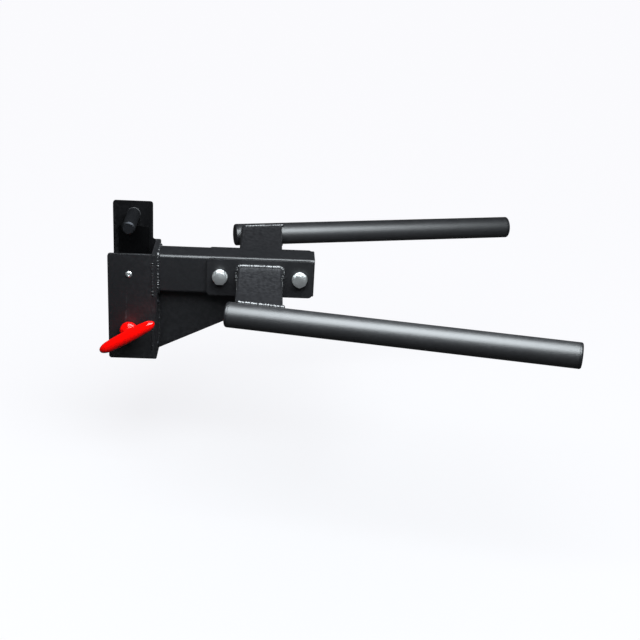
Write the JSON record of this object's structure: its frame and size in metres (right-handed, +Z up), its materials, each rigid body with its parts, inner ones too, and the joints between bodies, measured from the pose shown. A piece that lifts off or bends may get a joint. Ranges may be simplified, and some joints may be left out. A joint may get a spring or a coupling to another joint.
{
  "type": "rack-mounted dip attachment",
  "caption": "Dip attachment for a square rack upright: lined U bracket with a fixed hook pin and a pull-out locking pin, box arm with gusset, bolted side plates and splayed round handles.",
  "frame": {"origin": "on the axis of the hook pin, in the middle of the rack upright that the bracket fits", "axes": "+X out of the rack along the arm, +Y across the upright from the locking pin's side to the hook pin's plate, +Z up"},
  "size_m": [0.8515, 0.7434, 0.29],
  "materials": {
    "black_powder_coat": "satin black powder coat with a fine grain",
    "liner_plastic": "matte black low-friction plastic",
    "cap_plastic": "matte black moulded plastic",
    "pin_steel": "turned steel with a dull plated finish",
    "black_steel": "turned steel, black oxide",
    "zinc_steel": "bright zinc plating",
    "nylon": "natural nylon",
    "red_plastic": "glossy red moulded plastic"
  },
  "bodies": {
    "bracket": {"near_side_plate": "black_powder_coat", "far_side_plate": "black_powder_coat", "web_plate": "black_powder_coat", "hook_pin": "black_steel", "near_liner": "liner_plastic", "far_liner": "liner_plastic", "web_liner": "liner_plastic", "liner_screws": "zinc_steel", "liner_nuts": "zinc_steel", "arm_tube": "black_powder_coat", "gusset_plate": "black_powder_coat", "arm_end_cap": "cap_plastic", "near_mounting_plate": "black_powder_coat", "far_mounting_plate": "black_powder_coat", "near_spreader_tube": "black_powder_coat", "far_spreader_tube": "black_powder_coat", "near_handle_tube": "black_powder_coat", "far_handle_tube": "black_powder_coat", "near_handle_inner_cap": "cap_plastic", "near_handle_outer_cap": "cap_plastic", "far_handle_inner_cap": "cap_plastic", "far_handle_outer_cap": "cap_plastic", "clamp_bolts": "zinc_steel", "bolt_washers": "zinc_steel", "lock_nuts": "zinc_steel", "nut_inserts": "nylon", "arm_weld": "black_powder_coat", "gusset_welds": "black_powder_coat", "web_welds": "black_powder_coat", "hook_pin_weld": "black_powder_coat", "spreader_welds": "black_powder_coat", "handle_welds": "black_powder_coat"},
    "locking_pin": {"locking_pin_shaft": "pin_steel"},
    "t_handle": {"t_handle": "red_plastic"}
  },
  "joints": [
    {"name": "pin_pull", "type": "slide", "parent": "bracket", "child": "locking_pin", "axis": [0, -1, 0], "range_m": [0, 0.104]},
    {"name": "handle_swivel", "type": "hinge", "parent": "locking_pin", "child": "t_handle", "pos_m": [0, -0.0873, -0.2032], "axis": [0, 1, 0], "continuous": true}
  ]
}
